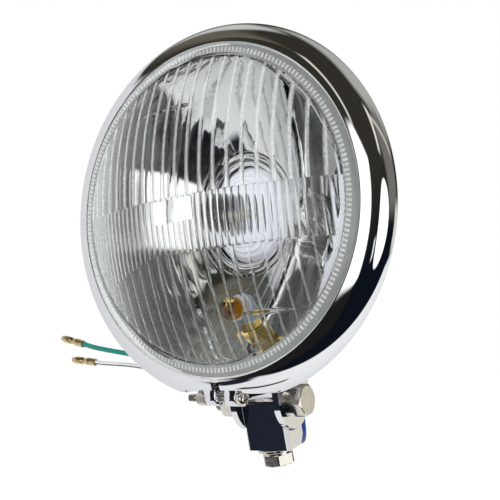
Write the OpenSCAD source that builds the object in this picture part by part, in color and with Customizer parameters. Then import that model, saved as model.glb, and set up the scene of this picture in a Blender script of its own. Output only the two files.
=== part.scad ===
// Round motorcycle headlight with a split clamp ring, a fluted lens and a tilting bottom mount.
// Millimetres. The origin is the middle of the mounting block's bottom face, on the mounting bolt's
// axis, with +Z up the block. The lamp faces -Y and is tipped up about the tilt bolt, which runs along X.

/* [Lens] */
// Diameter of the glass seen inside the ring
glass_d = 144; // [120:1:170]
// Height of the lens dome over its rim
dome_rise = 18.9; // [12:0.1:26]
// Glass thickness
glass_t = 3.2; // [2.4:0.1:5]
// Width of the flat band between the dome and the ring
band_w = 5.2; // [3:0.1:9]
// Distance between the vertical flutes
flute_pitch = 6.2; // [4:0.1:10]
// Depth of the vertical flutes
flute_depth = 0.9; // [0.4:0.1:1.4]
// Thickness of the lens rim held under the ring
rim_t = 3.1; // [2:0.1:5]
// Overlap of the ring's lip on the lens rim
lip_overlap = 1.6; // [1:0.1:2.4]

/* [Trim ring] */
// Width of the ring's bulge, from the glass to its widest place
bulge_w = 10.4; // [7:0.1:16]
// Depth of the bulge, front to back
bulge_d = 11.6; // [9:0.1:16]
// Sheet thickness of the ring
ring_t = 1; // [0.8:0.1:1.6]
// Length of the skirt behind the bulge
skirt_l = 4; // [3:0.5:10]
// How much the skirt draws in
skirt_draw = 2.6; // [1:0.1:3.4]
// Width of the split at the bottom
split_w = 4.2; // [2:0.1:8]
// How far the split is turned from the bottom, in degrees
split_turn = 2.3; // [-10:0.1:10]
// Thickness of each clamp lug along the screw
lug_t = 6; // [4:0.1:9]
// Radius of the rounded end of a clamp lug
lug_r = 3.3; // [2.6:0.1:5]
// Distance of the clamp screw behind the glass edge
clamp_back = 6.8; // [5:0.1:8]
// Depth of the flat round the clamp, below the bulge's widest radius
clamp_flat = 4.2; // [2:0.1:4.8]

/* [Shell] */
// How far the shell's side stands out past the visible glass
shell_step = 3.5; // [3:0.1:5]
// Room in the shell behind the bulb's connector
shell_room = 5.2; // [4:0.1:30]
// Length of the shell's straight front part
shell_straight = 5; // [3:0.5:8]
// Sheet thickness of the shell
shell_t = 1.2; // [0.8:0.1:2]
// Thickness of the rubber seal behind the lamp unit
seal_t = 2; // [1:0.1:4]
// Width of the rubber seal
seal_w = 3.4; // [2:0.1:5]
// Diameter of the cable grommet's hole
grommet_d = 12; // [9:0.5:16]
// How far back along the shell the grommet sits
grommet_back = 58.5; // [52:0.5:62]

/* [Reflector] */
// Focal length of the reflector
focal_l = 23; // [21:0.5:27]
// Sheet thickness of the reflector
mirror_t = 1.4; // [1:0.1:3]
// Inner radius of the bulb collar
collar_r = 19; // [16:0.5:22]
// Length of the bulb collar
collar_l = 6; // [4:0.5:9]
// Drop of the side light below the bulb's axis
pilot_drop = 42; // [34:1:50]
// Diameter of the side light's hole
pilot_hole_d = 13; // [10:0.5:16]

/* [Bulb] */
// Diameter of the bulb's glass
bulb_d = 17; // [14:0.5:20]
// Length of the bulb's glass in front of its sleeve
bulb_l = 38; // [28:1:44]
// Diameter of the bulb's seating flange
bulb_flange_d = 43; // [40:0.5:46]
// Length of the connector on the bulb's blades
connector_l = 12; // [10:0.5:16]

/* [Bracket] */
// Backward lean of the block against the lamp, in degrees
lean = 10; // [0:0.5:25]
// Distance of the tilt bolt behind the glass edge
pivot_back = 36.5; // [32:0.5:42]
// Clearance between the block's rounded top and the saddle
block_top_gap = 3; // [0.4:0.1:5]
// Height of the tilt bolt over the block's bottom
pivot_h = 20.6; // [19:0.1:30]
// Radius of the rounded ears
ear_r = 12.2; // [10:0.1:14]
// Thickness of the ears
ear_t = 3; // [2:0.1:4]
// Free width between the ears
ear_gap = 20; // [18:0.5:26]
// Thickness of the saddle against the shell
saddle_t = 3.6; // [1.4:0.1:4.4]
// Width of the block below the ears
block_w = 22.6; // [21:0.2:32]
// Front to back size of the block
block_l = 14.5; // [13:0.5:17]
// Chamfer of the block's upright edges
block_bevel = 1.6; // [0.5:0.1:3]
// Height of the bevel at the block's lower back edge
heel_h = 6.4; // [2:0.2:9]
// Depth of the bevel at the block's lower back edge
heel_l = 4.4; // [1:0.2:5]

/* [Fasteners] */
// Diameter of the tilt bolt
tilt_d = 8; // [6:0.5:8]
// Width across flats of the tilt bolt's head and nut
tilt_af = 13; // [10:0.5:14]
// Height of the tilt bolt's head
tilt_head_h = 5.4; // [4:0.1:8]
// Turn of the tilt bolt's head, in degrees
tilt_turn = 41; // [0:1:60]
// Height of the tilt bolt's nut
tilt_nut_h = 6.5; // [5:0.1:8]
// Thickness of the lock washers on the tilt bolt
lock_t = 2; // [1:0.1:3]
// Thickness of the flat washer on the tilt bolt
flat_t = 1.6; // [1:0.1:2.5]
// Length of thread that stands out of the tilt nut
tilt_tail = 5.2; // [2:0.1:8]
// Diameter of the mounting bolt
mount_d = 8; // [6:0.5:10]
// Width across flats of the mounting bolt's head
mount_af = 13.5; // [12:0.5:17]
// Height of the mounting bolt's head
mount_head_h = 5; // [4:0.1:8]
// Depth of the mounting bolt in the block
mount_grip = 12; // [8:0.5:13]
// Turn of the mounting bolt's head, in degrees
mount_turn = 34; // [0:1:60]
// Thickness of the mounting bolt's flat washer
mount_flat_t = 1.4; // [1:0.1:3]
// Thickness of the mounting bolt's lock washer
mount_lock_t = 1.5; // [1:0.1:3]
// Diameter of the clamp screw
clamp_d = 3.5; // [3:0.5:4]
// Diameter of the clamp screw's head
clamp_head_d = 6.6; // [6:0.1:8]
// Height of the clamp screw's head
clamp_head_h = 3.8; // [2.4:0.1:5]
// Width across flats of the clamp nut
clamp_af = 6; // [5.5:0.1:8]
// Height of the clamp nut
clamp_nut_h = 4.8; // [3:0.1:6]
// Length of the clamp screw beyond its nut
clamp_tail = 5.6; // [2:0.1:8]

/* [Leads] */
// Diameter of the green and blue leads
lead_d = 2.6; // [2:0.1:3.2]
// Diameter of the white lead
thin_lead_d = 2.2; // [1.8:0.1:3]
// Diameter of a bullet connector
bullet_d = 4; // [3.4:0.1:5]
// Length of a bullet connector
bullet_l = 17; // [14:0.5:22]

/* [Hidden] */

glass_r = glass_d/2;
unit_r = glass_r + lip_overlap;
dome_r = glass_r - band_w;
seat_gap = 0.1;      // clearance of pieces that seat on each other
pin_gap = 0.08;      // clearance all round the tilt bolt in the block
side_gap = 0.25;     // clearance between each ear and the block
recess_gap = 0.8;    // room round the ears' rounding in the block
big = 400;

// Places along the lamp's axis, counted backwards from the glass edge
rim_front = ring_t + seat_gap*2;
rim_back = rim_front + rim_t;
dome_base = -2.2;
dome_ball = (dome_r*dome_r + dome_rise*dome_rise)/(2*dome_rise);
dome_mid = dome_base - dome_rise + dome_ball;
inner_ball = dome_ball - glass_t;
open_r = dome_r - 1.8;
flange_t = 1.6;
flange_back = rim_back + flange_t;
lip_front = flange_back + seal_t;
shell_r = glass_r + shell_step;
seal_r = unit_r - 2.2;
lip_r = seal_r - seal_w;
collar_front = rim_back + (open_r*open_r - collar_r*collar_r)/(4*focal_l);
collar_back = collar_front + collar_l;
collar_out = bulb_flange_d/2 + 1.9;
bulb_flange_t = 1.6;
socket_l = 10;
connector_front = collar_back + socket_l + 0.4;
bowl_start = lip_front + shell_straight;
bowl_l = connector_front + connector_l + shell_room - bowl_start;

// The bulb's blades, each with its place across and up and its turn
blade_w = 8;
blade_t = 0.8;
blade_places = [[0, 6, 0], [-7, -2, 90], [7, -2, 90]];

// The bracket, in the lamp's own frame
bolt_r = tilt_d/2;
block_r = block_l/2;
skirt_r = glass_r + bulge_w - skirt_draw;
skirt_back = bulge_d + skirt_l;
hem_r = shell_r + seat_gap;
web_r = bowl_r(pivot_back) + saddle_t;
pivot_drop = web_r + block_top_gap + block_r;
clamp_room = clamp_af/sqrt(3) + 0.3;
clamp_r = hem_r + seat_gap + ring_t + clamp_room;
flat_r = glass_r + bulge_w - clamp_flat;
head_x = split_w/2 + lug_t;
tail_x = -head_x - clamp_nut_h - clamp_tail;
ear_in = ear_gap/2;
ear_out = ear_in + ear_t;

// Free leads. The grommet passes them on a small circle, and each ends in a bullet connector
lead_ring = 2.9;
lead_turns = [90, 210, 330];
green_path = [[-2.51, 29.35, 44.42], [-2.51, 31.72, 41.19], [-2.6, 35, 34.7], [-4.5, 37.8, 30.2],
    [-9.5, 39, 26.8], [-16, 38.8, 25], [-23, 37.4, 25.2], [-30, 35, 26.4], [-37, 32.3, 28.2],
    [-44, 29.6, 30.2], [-51, 27, 32.2], [-58, 24.4, 34.3], [-65, 21.6, 36.5], [-72, 18.9, 38.7],
    [-79, 16.5, 40.9], [-86, 14.8, 42.9], [-93, 13.8, 44.7], [-100, 13.4, 46.2], [-107, 13.5, 47.6],
    [-115, 13.8, 49.3], [-123, 14.3, 51.4]];
white_path = [[2.51, 29.35, 44.42], [2.51, 31.72, 41.19], [2.6, 35, 34.7], [2, 38, 29.8],
    [-1, 40.5, 25.8], [-5.5, 42, 22.6], [-11, 42.2, 20.6], [-17, 41, 20], [-23, 39, 20.4],
    [-29, 36.5, 21.4], [-35, 33.6, 22.6], [-41, 30.7, 24.2], [-47, 27.9, 25.9], [-53, 25.2, 27.7],
    [-59, 22.6, 29.6], [-65, 20.2, 31.4], [-71, 18, 33.2], [-77, 16.2, 35], [-83, 14.7, 36.6],
    [-89, 13.7, 38], [-95, 13, 39], [-101.5, 12.6, 39.8], [-108, 12.4, 40.5], [-114.5, 12.4, 41.4]];
blue_path = [[0, 25.85, 41.84], [0, 28.22, 38.62], [0, 31.3, 32.4], [-0.8, 34, 27], [-2.2, 36, 21.6],
    [-4.2, 37.2, 16], [-6, 37.8, 10.4], [-7.2, 38.1, 4.8], [-8.1, 38.5, -0.6], [-9.2, 39.6, -5.6],
    [-11.6, 42, -9.8], [-15.2, 45.6, -12.2], [-18.9, 50, -12.8], [-22.3, 54.4, -12.4],
    [-25.7, 58.8, -11.6], [-29.1, 63.2, -10.6]];

// Radius of the shell's outside, and of the reflector's inside, at a place along the axis
function bowl_r(back) = shell_r*sqrt(1 - pow((back - bowl_start)/bowl_l, 2));
function mirror_back(r) = rim_back + (open_r*open_r - r*r)/(4*focal_l);

// Profile of the shell's skin, moved in by some thickness
function bowl_points(inset, steps = 28) = [for (i = [0:steps])
    let (a = 90*i/steps) [(shell_r - inset)*cos(a), bowl_start + (bowl_l - inset)*sin(a)]];

// Profile of the reflector's curve, moved out by some thickness
function mirror_points(outset, steps = 16) = [for (i = [0:steps])
    let (r = open_r + (collar_r - open_r)*i/steps) [r + outset, mirror_back(r) + outset*0.6]];

// Quarter of an ellipse that the ring's bulge follows, moved in by some thickness
function bulge_points(inset, steps = 14) = [for (i = [0:steps])
    let (a = 90*i/steps) [glass_r + (bulge_w - inset)*sin(a), bulge_d - (bulge_d - inset)*cos(a)]];

function reversed(list) = [for (i = [len(list) - 1:-1:0]) list[i]];

// Puts pieces drawn in the lamp's own frame, where the glass edge is at the origin, on the bracket
module on_head() {
    translate([0, 0, pivot_h]) rotate([-lean, 0, 0]) translate([0, -pivot_back, pivot_drop]) children();
}

// Turns a shape drawn up Z so that it runs backwards along the lamp's axis
module backwards() {
    rotate([-90, 0, 0]) children();
}

// Solid of revolution about the lamp's axis, from points [radius, distance back]
module lathe(points, segments = 96) {
    backwards() rotate_extrude($fn = segments) polygon(points);
}

// Turns a shape drawn up Z so that it runs along +X
module along_x() {
    rotate([0, 90, 0]) children();
}

module tube(outer, inner, height) {
    difference() {
        cylinder(r = outer, h = height, $fn = 48);
        translate([0, 0, -1]) cylinder(r = inner, h = height + 2, $fn = 48);
    }
}

// Hexagon with its corners turned off at one or both ends
module hexagon(across, height, hole = 0, both = false) {
    corner = across/sqrt(3);
    turned = 0.4*(corner - across/2) + 0.25;
    difference() {
        intersection() {
            cylinder(r = corner, h = height, $fn = 6);
            rotate_extrude($fn = 48)
                polygon([[0, 0], [both ? corner - turned : corner, 0], [corner, both ? turned : 0],
                    [corner, height - turned], [corner - turned, height], [0, height]]);
        }
        if (hole > 0)
            translate([0, 0, -1]) cylinder(r = hole, h = height + 2, $fn = 48);
    }
}

// Split spring washer
module lock_washer(outer, inner, height) {
    cut_w = 1.4;
    difference() {
        tube(outer, inner, height);
        rotate([0, 0, 35]) translate([inner - 1, -cut_w/2, -1]) cube([outer, cut_w, height + 2]);
    }
}

// Lens: a clear dome on a flat rim, fluted inside
module lens() {
    color([0.86, 0.9, 0.9, 0.5]) on_head() difference() {
        union() {
            intersection() {
                translate([0, dome_mid, 0]) sphere(r = dome_ball, $fn = 180);
                backwards() translate([0, 0, dome_base - dome_rise - 1])
                    cylinder(r = dome_r, h = dome_rise + 1 - dome_base + rim_back, $fn = 96);
            }
            lens_rim();
        }
        difference() {
            lens_hollow(inner_ball);
            difference() {
                flutes();
                translate([0, dome_mid, 0]) sphere(r = inner_ball - flute_depth, $fn = 180);
            }
        }
    }
}

module lens_rim() {
    band_front = dome_base + 0.7;
    lathe([[dome_r - 0.8, rim_back], [dome_r - 0.8, band_front], [dome_r + 2.2, band_front],
        [glass_r - 0.4, rim_front], [unit_r, rim_front], [unit_r, rim_back]]);
}

module lens_hollow(ball) {
    intersection() {
        translate([0, dome_mid, 0]) sphere(r = ball, $fn = 180);
        backwards() translate([0, 0, dome_base - dome_rise])
            cylinder(r = open_r, h = dome_rise - dome_base + rim_back + 1, $fn = 96);
    }
}

module flutes() {
    count = floor(open_r/flute_pitch);
    for (i = [-count:count])
        translate([(i - 0.25)*flute_pitch, dome_base - dome_rise - 1, -glass_r])
            cube([flute_pitch/2, dome_rise*2, glass_d]);
}

// Reflector: a pressed mirror bowl with a flange, a bulb collar and the side light's hole
module reflector() {
    color("silver") on_head() difference() {
        lathe(concat([[unit_r, rim_back], [unit_r, flange_back]],
            [[open_r + mirror_t*2, flange_back]],
            [for (p = mirror_points(mirror_t)) if (p[1] > flange_back) p],
            [[collar_out, collar_front + mirror_t], [collar_out, collar_back],
                [collar_r, collar_back]],
            reversed(mirror_points(0))), 72);
        pilot_place() translate([0, 0, -20]) cylinder(d = pilot_hole_d, h = 40, $fn = 48);
    }
}

module pilot_place() {
    translate([0, mirror_back(pilot_drop), -pilot_drop]) backwards() children();
}

module lens_seal() {
    color([0.12, 0.12, 0.12]) on_head()
        lathe([[lip_r, flange_back], [seal_r, flange_back], [seal_r, lip_front],
            [lip_r, lip_front]]);
}

// Flat springs that keep the lamp unit in the ring
module unit_clips() {
    clip_t = 0.8;
    clip_turn = 14;
    wall_r = glass_r + (bulge_w - ring_t)*sqrt(1 - pow((bulge_d - flange_back)/(bulge_d - ring_t), 2));
    color("lightgray") on_head() backwards()
        for (a = [45:90:315])
            rotate([0, 0, a - clip_turn/2]) rotate_extrude(angle = clip_turn, $fn = 96)
                polygon([[unit_r - 1.9, flange_back], [wall_r - seat_gap*3, flange_back],
                    [wall_r - seat_gap*3, flange_back + clip_t], [unit_r - 1.9, flange_back + clip_t]]);
}

// Trim ring: a bulged sheet ring, recessed at the bottom for the screw that draws its split together
module trim_ring() {
    color([0.86, 0.86, 0.88]) on_head() difference() {
        union() {
            difference() {
                union() {
                    lathe(concat(ring_outside(), [[skirt_r - ring_t, skirt_back - ring_t]],
                        reversed(bulge_points(ring_t))), 120);
                    intersection() {
                        lathe(ring_filled(), 120);
                        clamp_place() clamp_space(ring_t);
                    }
                }
                clamp_place() clamp_space(0);
            }
            for (side = [-1, 1])
                clamp_place() translate([side*(split_w + lug_t)/2 - lug_t/2, 0, 0]) clamp_lug();
        }
        clamp_place() translate([-split_w/2, -20, -30]) cube([split_w, 60, 60]);
        clamp_place() translate([-head_x - 1, 0, 0]) along_x()
            cylinder(d = clamp_d + 0.3, h = head_x*2 + 2, $fn = 32);
    }
}

// Outer profile of the ring, from the glass edge back to the hem on the shell
function ring_outside() = concat(bulge_points(0),
    [[skirt_r, skirt_back], [hem_r, skirt_back], [hem_r, skirt_back - ring_t]]);

// The ring filled in, as far as the lamp unit and the shell leave room
function ring_filled() = concat(bulge_points(0), [[skirt_r, skirt_back], [hem_r, skirt_back],
    [hem_r, lip_front - seat_gap],
    [unit_r + seat_gap*2, lip_front - seat_gap], [unit_r + seat_gap*2, ring_t]]);

// Space that the ring leaves free: a flat below, and a deeper recess from the screw's tail to its head
module clamp_space(grow) {
    room = clamp_room + grow;
    from_x = tail_x - 0.6 - grow;
    to_x = head_x + clamp_head_h + 0.6 + grow;
    translate([from_x, -20, -30]) cube([to_x - from_x, 20 + room, 30 + room]);
    translate([-glass_r/2, -20, -30]) cube([glass_r, 80, 30 + clamp_r - flat_r + grow]);
}

// The clamp screw's middle, with its axis along X
module clamp_place() {
    rotate([0, split_turn, 0]) translate([0, clamp_back, -clamp_r]) children();
}

// Rounded lug that stands in the recess
module clamp_lug() {
    root = clamp_room + ring_t/2;
    along_x() cylinder(r = lug_r, h = lug_t, $fn = 48);
    translate([0, -lug_r, 0]) cube([lug_t, lug_r + root, root]);
}

module clamp_screw() {
    color("silver") on_head() clamp_place() {
        translate([tail_x, 0, 0]) along_x() cylinder(d = clamp_d, h = head_x - tail_x, $fn = 32);
        translate([head_x, 0, 0]) along_x() difference() {
            rotate_extrude($fn = 48) polygon([[0, 0], [clamp_head_d/2, 0],
                [clamp_head_d/2, clamp_head_h*0.7], [clamp_head_d/2 - 1, clamp_head_h], [0, clamp_head_h]]);
            for (a = [0, 90])
                rotate([0, 0, a + 45]) translate([-clamp_head_d*0.32, -0.5, clamp_head_h - 1.6])
                    cube([clamp_head_d*0.64, 1, 2]);
        }
    }
}

module clamp_nut() {
    color("silver") on_head() clamp_place() translate([-head_x - clamp_nut_h, 0, 0])
        along_x() rotate([0, 0, 10]) hexagon(clamp_af, clamp_nut_h, hole = clamp_d/2 + 0.02, both = true);
}

// Shell: a spun bowl with its front edge turned in to carry the lamp unit
module shell() {
    color([0.84, 0.84, 0.86]) on_head() difference() {
        lathe(concat([[lip_r, lip_front], [shell_r, lip_front]], bowl_points(0),
            reversed(bowl_points(shell_t)), [[shell_r - shell_t, lip_front + shell_t],
                [lip_r, lip_front + shell_t]]), 96);
        grommet_place() translate([0, 0, -12]) cylinder(d = grommet_d, h = 24, $fn = 48);
    }
}

// The grommet's middle on the shell's skin, with Z along the outward normal
module grommet_place() {
    r = bowl_r(grommet_back);
    slope = atan2((grommet_back - bowl_start)/(bowl_l*bowl_l), r/(shell_r*shell_r));
    translate([0, grommet_back, -r]) rotate([180 + slope, 0, 0]) children();
}

module cable_grommet() {
    neck_r = grommet_d/2 - seat_gap;
    color([0.1, 0.1, 0.1]) on_head() grommet_place() difference() {
        rotate_extrude($fn = 48) polygon([[0, -4.2], [neck_r + 1.6, -4.2], [neck_r + 1.6, -2.6],
            [neck_r, -2.4], [neck_r, 1], [neck_r + 1.8, 1.1], [neck_r + 1.2, 2.6], [neck_r - 1.4, 4.4],
            [0, 4.4]]);
        for (a = lead_turns)
            rotate([0, 0, a]) translate([lead_ring, 0, -6]) cylinder(d = lead_d, h = 12, $fn = 24);
    }
}

// Bulb: glass capsule with a domed tip
module bulb_glass() {
    tip = collar_back - 10 - bulb_l;
    r = bulb_d/2;
    color([0.9, 0.92, 0.95, 0.5]) on_head()
        lathe(concat([for (a = [0:15:90]) [r*sin(a), tip + r*(1 - cos(a))]],
            [[r, collar_back - 10], [0, collar_back - 10]]), 48);
}

// Bulb cap: front sleeve, seating flange and rear socket
module bulb_base() {
    seat = collar_back;
    sleeve_r = bulb_d/2 + 0.6;
    color([0.75, 0.74, 0.7]) on_head()
        lathe([[0, seat - 10], [sleeve_r, seat - 10], [sleeve_r, seat - 2], [collar_r - 1.5, seat - 0.4],
            [collar_r - 1.5, seat], [bulb_flange_d/2, seat], [bulb_flange_d/2, seat + bulb_flange_t],
            [12, seat + bulb_flange_t], [12, seat + socket_l], [0, seat + socket_l]], 48);
}

// Three blades: one above and one on each side
module bulb_terminals() {
    color("silver") on_head() for (place = blade_places)
        translate([place[0], collar_back + socket_l, place[1]]) rotate([0, place[2], 0])
            translate([-blade_w/2, 0, -blade_t/2]) cube([blade_w, 9, blade_t]);
}

// Wire ring that presses the bulb's flange onto the collar
module bulb_spring() {
    color("lightgray") on_head() backwards() translate([0, 0, collar_back + bulb_flange_t + 0.8])
        rotate([0, 0, 20]) rotate_extrude(angle = 320, $fn = 64)
            translate([bulb_flange_d/2 - 3, 0]) circle(r = 0.8, $fn = 16);
}

// Rubber boot that closes the back of the reflector round the connector
module bulb_boot() {
    grip = collar_out + seat_gap;
    boot_t = 1.8;
    color([0.1, 0.1, 0.1]) on_head()
        lathe([[grip, collar_front + mirror_t + 0.6], [grip + boot_t, collar_front + mirror_t + 0.6],
            [grip + boot_t, collar_back + 3.4], [17.5, connector_front + 0.6], [17.5, connector_front + 3.6],
            [15.6, connector_front + 3.6], [15.6, connector_front], [grip, collar_back + 2.8]], 64);
}

// Three way connector pushed on the blades
module bulb_connector() {
    color([0.9, 0.9, 0.86]) on_head() difference() {
        backwards() translate([0, 0, connector_front]) linear_extrude(connector_l)
            polygon([[-13, -4], [-13, 5], [-8, 10.5], [8, 10.5], [13, 5], [13, -4], [8, -8.6], [-8, -8.6]]);
        for (place = blade_places)
            translate([place[0], connector_front - 1, place[1]]) rotate([0, place[2], 0])
                translate([-blade_w/2 - 0.2, 0, -blade_t/2 - 0.2])
                    cube([blade_w + 0.4, 10.4, blade_t + 0.4]);
    }
}

// Side light: small bulb pushed through the reflector, in a bayonet holder behind it
module pilot_bulb() {
    color([0.95, 0.8, 0.5]) on_head() pilot_place() translate([0, 0, -13])
        rotate_extrude($fn = 32) polygon(concat([for (a = [0:15:90]) [4.4*sin(a), 4.4*(1 - cos(a))]],
            [[4.4, 11], [0, 11]]));
}

module pilot_holder() {
    hole_r = pilot_hole_d/2 - seat_gap;
    color([0.8, 0.65, 0.3]) on_head() pilot_place() rotate_extrude($fn = 32)
        polygon([[0, -2], [5, -2], [5, -0.5], [hole_r, -0.5], [hole_r, 9], [hole_r - 1.2, 12], [0, 12]]);
}

// Saddle: two rounded ears on a web that is welded to the shell's underside
module saddle() {
    web_l = ear_r*1.9;
    color([0.82, 0.82, 0.84]) on_head() difference() {
        union() {
            for (side = [-1, 1])
                translate([side*(ear_in + ear_t/2) - ear_t/2, 0, 0]) ear_plate();
            intersection() {
                translate([-ear_out, pivot_back - web_l/2, -shell_r - saddle_t - 2])
                    cube([ear_out*2, web_l, shell_r/3]);
                lathe(concat([[0, lip_front]], bowl_skin(saddle_t), [[0, bowl_start + bowl_l]]), 96);
            }
        }
        lathe(concat([[0, lip_front]], bowl_skin(0), [[0, bowl_start + bowl_l]]), 96);
        translate([-big/2, pivot_back, -pivot_drop]) along_x()
            cylinder(r = bolt_r + 0.1, h = big, $fn = 48);
    }
}

// The shell's outside moved outwards by some thickness
function bowl_skin(outset) = concat([[shell_r + outset, lip_front]], bowl_points(-outset));

// One ear's outline: a rounded end with flanks that run up to the shell
module ear_plate() {
    root_front = [pivot_back - ear_r - 2.2, -bowl_r(pivot_back - ear_r) + 6];
    root_back = [pivot_back + ear_r + 5, -bowl_r(pivot_back + ear_r) + 6];
    middle = [pivot_back, -pivot_drop];
    rotate([90, 0, 90]) linear_extrude(ear_t) union() {
        translate(middle) circle(r = ear_r, $fn = 96);
        polygon([root_front, touch(root_front, middle, ear_r, -1), middle,
            touch(root_back, middle, ear_r, 1), root_back]);
    }
}

// Point where a line from a far point touches a circle, on its left or right
function touch(far, middle, r, side) =
    let (away = far - middle, reach = norm(away), a = atan2(away[1], away[0]) - side*acos(r/reach))
    middle + r*[cos(a), sin(a)];

// Fasteners on the tilt bolt's axis
module on_pivot() {
    translate([0, 0, pivot_h]) rotate([-lean, 0, 0]) children();
}

module tilt_bolt() {
    seat_x = ear_out + lock_t;
    tail_x = -(ear_out + flat_t + lock_t + tilt_nut_h + tilt_tail);
    color([0.85, 0.83, 0.78]) on_pivot() {
        translate([tail_x, 0, 0]) along_x() rotate_extrude($fn = 48)
            polygon([[0, 0], [bolt_r - 0.8, 0], [bolt_r, 0.8], [bolt_r, seat_x - tail_x],
                [0, seat_x - tail_x]]);
        translate([seat_x, 0, 0]) along_x() rotate([0, 0, tilt_turn]) hexagon(tilt_af, tilt_head_h);
    }
}

module tilt_lock_washers() {
    color("silver") on_pivot() for (x = [ear_out, -ear_out - flat_t - lock_t])
        translate([x, 0, 0]) along_x() lock_washer(tilt_af/2, bolt_r + 0.2, lock_t);
}

module tilt_washer() {
    color("silver") on_pivot() translate([-ear_out - flat_t, 0, 0]) along_x()
        tube(tilt_d, bolt_r + 0.2, flat_t);
}

module tilt_nut() {
    color([0.85, 0.83, 0.78]) on_pivot()
        translate([-ear_out - flat_t - lock_t - tilt_nut_h, 0, 0]) along_x()
            hexagon(tilt_af, tilt_nut_h, hole = bolt_r + 0.02, both = true);
}

// Mounting block: bevelled upright block, rounded at the top and relieved for the ears
module mount_block() {
    half = block_w/2;
    color([0.82, 0.82, 0.84]) difference() {
        intersection() {
            translate([-half, 0, 0]) rotate([90, 0, 90]) linear_extrude(block_w) union() {
                polygon([[-block_r, 0], [block_r - heel_l, 0], [block_r, heel_h], [block_r, pivot_h],
                    [-block_r, pivot_h]]);
                translate([0, pivot_h]) circle(r = block_r, $fn = 72);
            }
            linear_extrude(pivot_h*2) polygon([
                [-half, -block_r + block_bevel], [-half + block_bevel, -block_r],
                [half - block_bevel, -block_r], [half, -block_r + block_bevel],
                [half, block_r - block_bevel], [half - block_bevel, block_r],
                [-half + block_bevel, block_r], [-half, block_r - block_bevel]]);
        }
        for (side = [-1, 1])
            translate([side > 0 ? ear_in - side_gap : -ear_in + side_gap - half, 0, pivot_h])
                along_x() cylinder(r = ear_r + recess_gap, h = half, $fn = 96);
        translate([-half - 1, 0, pivot_h]) along_x()
            cylinder(r = bolt_r + pin_gap, h = block_w + 2, $fn = 48);
        translate([0, 0, -1]) cylinder(d = mount_d + 0.1, h = mount_grip + 2.4, $fn = 48);
    }
}

module mount_bolt() {
    head_top = -mount_flat_t - mount_lock_t;
    color([0.85, 0.83, 0.78]) {
        translate([0, 0, head_top]) rotate([180, 0, mount_turn]) hexagon(mount_af, mount_head_h);
        translate([0, 0, head_top]) cylinder(d = mount_d, h = mount_grip - head_top, $fn = 48);
    }
}

module mount_washer() {
    color("silver") translate([0, 0, -mount_flat_t]) tube(mount_d*1.1, mount_d/2 + 0.3, mount_flat_t);
}

module mount_lock_washer() {
    color("silver") translate([0, 0, -mount_flat_t - mount_lock_t])
        lock_washer(mount_af/2, mount_d/2 + 0.3, mount_lock_t);
}

// Tube swept along a route: eight sided rings joined by flat faces
module lead(path, d, sides = 8) {
    last = len(path) - 1;
    rings = [for (i = [0:last])
        let (ahead = path[min(i + 1, last)] - path[max(i - 1, 0)],
            dir = ahead/norm(ahead),
            flat = cross(dir, [0, 1, 0]),
            u = flat/norm(flat),
            v = cross(dir, u))
        for (k = [0:sides - 1]) path[i] + d/2*(u*cos(360*k/sides) + v*sin(360*k/sides))];
    walls = [for (i = [0:last - 1]) for (k = [0:sides - 1])
        let (n = (k + 1) % sides)
        each [[i*sides + k, i*sides + n, (i + 1)*sides + n],
            [i*sides + k, (i + 1)*sides + n, (i + 1)*sides + k]]];
    caps = [[for (k = [sides - 1:-1:0]) k], [for (k = [0:sides - 1]) last*sides + k]];
    polyhedron(points = rings, faces = concat(walls, caps));
}

// Bullet connector at a route's end, pointing on along its last stretch
module bullet(path) {
    last = len(path) - 1;
    dir = path[last] - path[last - 1];
    r = bullet_d/2;
    translate(path[last]) rotate([0, acos(dir[2]/norm(dir)), atan2(dir[1], dir[0])])
        rotate_extrude($fn = 32) polygon([[0, 0], [r*0.9, 0], [r, 0.6], [r, bullet_l*0.36],
            [r*0.72, bullet_l*0.42], [r*0.72, bullet_l*0.5], [r*0.96, bullet_l*0.56],
            [r*0.96, bullet_l*0.86],
            [r*0.55, bullet_l], [0, bullet_l]]);
}

module lead_green() { color([0.03, 0.5, 0.43]) lead(green_path, lead_d); }
module lead_white() { color([0.93, 0.93, 0.92]) lead(white_path, thin_lead_d); }
module lead_blue() { color([0.1, 0.25, 0.6]) lead(blue_path, lead_d); }
module bullet_green() { color([0.8, 0.66, 0.34]) bullet(green_path); }
module bullet_white() { color([0.8, 0.66, 0.34]) bullet(white_path); }
module bullet_blue() { color([0.8, 0.66, 0.34]) bullet(blue_path); }

lens();
reflector();
lens_seal();
unit_clips();
trim_ring();
clamp_screw();
clamp_nut();
shell();
cable_grommet();
bulb_glass();
bulb_base();
bulb_terminals();
bulb_spring();
bulb_boot();
bulb_connector();
pilot_bulb();
pilot_holder();
saddle();
tilt_bolt();
tilt_lock_washers();
tilt_washer();
tilt_nut();
mount_block();
mount_bolt();
mount_washer();
mount_lock_washer();
lead_green();
lead_white();
lead_blue();
bullet_green();
bullet_white();
bullet_blue();
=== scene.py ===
"""Looks of the round motorcycle headlight: chrome, fluted glass, mirror bowl, hardware and leads.

The lamp frame has its origin in the middle of the visible glass edge. There, X is to the right, Y runs
back along the lamp's axis and Z is up. LAMP takes it to the row frame. Sizes are in millimetres, and MM
takes them to metres.
"""
import math

import bmesh
import bpy
from mathutils import Matrix, Vector


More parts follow.
